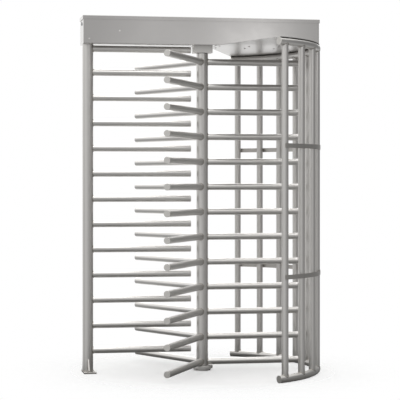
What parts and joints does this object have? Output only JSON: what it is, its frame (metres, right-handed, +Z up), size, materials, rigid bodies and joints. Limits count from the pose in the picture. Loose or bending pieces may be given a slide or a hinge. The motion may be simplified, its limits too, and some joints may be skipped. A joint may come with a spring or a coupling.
{
  "type": "full height turnstile",
  "caption": "Full height security turnstile: a rotor with wings of horizontal arms turns between a barrier comb and a curved cage under a header box.",
  "frame": {"origin": "on the floor, on the rotor's axis", "axes": "+Z up along the rotor, +X from the rotor towards the curved cage, +Y through the passage away from the front"},
  "size_m": [1.5767, 1.3702, 2.312],
  "materials": {
    "satin_tube": "satin brushed",
    "tube_end_cap": "satin",
    "flat_bar": "satin",
    "header_sheet": "satin",
    "ceiling_sheet": "satin",
    "cast_base": "satin",
    "fastener": "satin",
    "hinge_steel": "satin",
    "lock_chrome": "polished",
    "machined_steel": "turned",
    "bearing_steel": "ground",
    "bronze": "turned",
    "gear_steel": "hobbed",
    "zinc_plate": "zinc plated",
    "drive_housing": "die cast",
    "motor_paint": "satin",
    "solenoid_case": "satin",
    "control_case": "moulded",
    "circuit_board": "lacquered",
    "supply_case": "folded sheet"
  },
  "bodies": {
    "frame": {"left_post": "satin_tube", "left_base_plate": "flat_bar", "barrier_bars": "satin_tube", "barrier_bar_caps": "tube_end_cap", "cage_bottom_rail": "satin_tube", "cage_top_rail": "satin_tube", "cage_rail_end_caps": "tube_end_cap", "cage_posts": "satin_tube", "cage_lower_band": "flat_bar", "cage_upper_band": "flat_bar", "ceiling_plate": "ceiling_sheet", "header_screws": "fastener", "header_box": "header_sheet", "header_post_bolts": "fastener", "lid_hinge_fixed_leaves": "hinge_steel", "lid_hinge_pins": "hinge_steel", "lid_lock_barrels": "lock_chrome", "rotor_floor_plate": "cast_base", "lower_pivot_pin": "machined_steel", "lower_thrust_washer": "bronze", "upper_bearing_block": "cast_base", "upper_bearing_block_bolts": "fastener", "upper_bearing_outer_race": "bearing_steel", "upper_bearing_balls": "bearing_steel", "mechanism_plate": "zinc_plate", "drive_bracket": "zinc_plate", "drive_gearbox": "drive_housing", "drive_motor": "motor_paint", "lock_pawl_pins": "fastener", "lock_pawl_springs": "machined_steel", "lock_solenoids": "solenoid_case", "control_box": "control_case", "control_box_cover": "control_case", "control_board": "circuit_board", "power_supply": "supply_case"},
    "rotor": {"rotor_column": "satin_tube", "rotor_wing_a": "satin_tube", "rotor_wing_b": "satin_tube", "rotor_wing_c": "satin_tube", "rotor_arm_caps": "tube_end_cap", "rotor_shaft": "machined_steel", "column_end_plugs": "machined_steel", "lower_pivot_bush": "bronze", "upper_bearing_inner_race": "bearing_steel", "index_disc": "machined_steel", "rotor_gear": "gear_steel", "shaft_collar": "machined_steel"},
    "drive_pinion": {"drive_pinion": "gear_steel"},
    "lid": {"lid": "header_sheet", "lid_hinge_moving_leaves": "hinge_steel", "lid_catches": "hinge_steel"},
    "lid_lock_left": {"lid_lock_cam_left": "lock_chrome"},
    "lid_lock_right": {"lid_lock_cam_right": "lock_chrome"},
    "pawl_entry": {"lock_pawl_entry": "machined_steel"},
    "pawl_exit": {"lock_pawl_exit": "machined_steel"},
    "plunger_entry": {"solenoid_plunger_entry": "machined_steel"},
    "plunger_exit": {"solenoid_plunger_exit": "machined_steel"}
  },
  "joints": [
    {"name": "rotor_turn", "type": "hinge", "parent": "frame", "child": "rotor", "pos_m": [0, 0, 0], "axis": [0, 0, 1], "continuous": true},
    {"name": "drive_pinion_spin", "type": "hinge", "parent": "frame", "child": "drive_pinion", "pos_m": [0.075, 0, 2.186], "axis": [0, 0, 1], "continuous": true},
    {"name": "lid_hinge", "type": "hinge", "parent": "frame", "child": "lid", "pos_m": [0, 0.0935, 2.307], "axis": [-1, 0, 0], "range_deg": [0, 100]},
    {"name": "lid_lock_left_turn", "type": "hinge", "parent": "frame", "child": "lid_lock_left", "pos_m": [-0.7765, 0, 2.262], "axis": [1, 0, 0], "range_deg": [0, 90]},
    {"name": "lid_lock_right_turn", "type": "hinge", "parent": "frame", "child": "lid_lock_right", "pos_m": [0.7502, 0, 2.262], "axis": [1, 0, 0], "range_deg": [0, 90]},
    {"name": "entry_pawl_swing", "type": "hinge", "parent": "frame", "child": "pawl_entry", "pos_m": [-0.10324, -0.01556, 2.158], "axis": [0, 0, 1], "range_deg": [0, 13], "stiffness_Nm_per_rad": 0.2, "springref_deg": -20.05},
    {"name": "exit_pawl_swing", "type": "hinge", "parent": "frame", "child": "pawl_exit", "pos_m": [-0.10324, 0.01556, 2.158], "axis": [0, 0, -1], "range_deg": [0, 13], "stiffness_Nm_per_rad": 0.2, "springref_deg": -20.05},
    {"name": "entry_plunger_slide", "type": "slide", "parent": "frame", "child": "plunger_entry", "axis": [0, -1, 0], "range_m": [0, 0.00772]},
    {"name": "exit_plunger_slide", "type": "slide", "parent": "frame", "child": "plunger_exit", "axis": [0, 1, 0], "range_m": [0, 0.00772]}
  ],
  "couplings": [
    {"joint": "drive_pinion_spin", "follows": "rotor_turn", "ratio": -4},
    {"joint": "entry_plunger_slide", "follows": "entry_pawl_swing", "m_per_rad": 0.034},
    {"joint": "exit_plunger_slide", "follows": "exit_pawl_swing", "m_per_rad": 0.034}
  ]
}
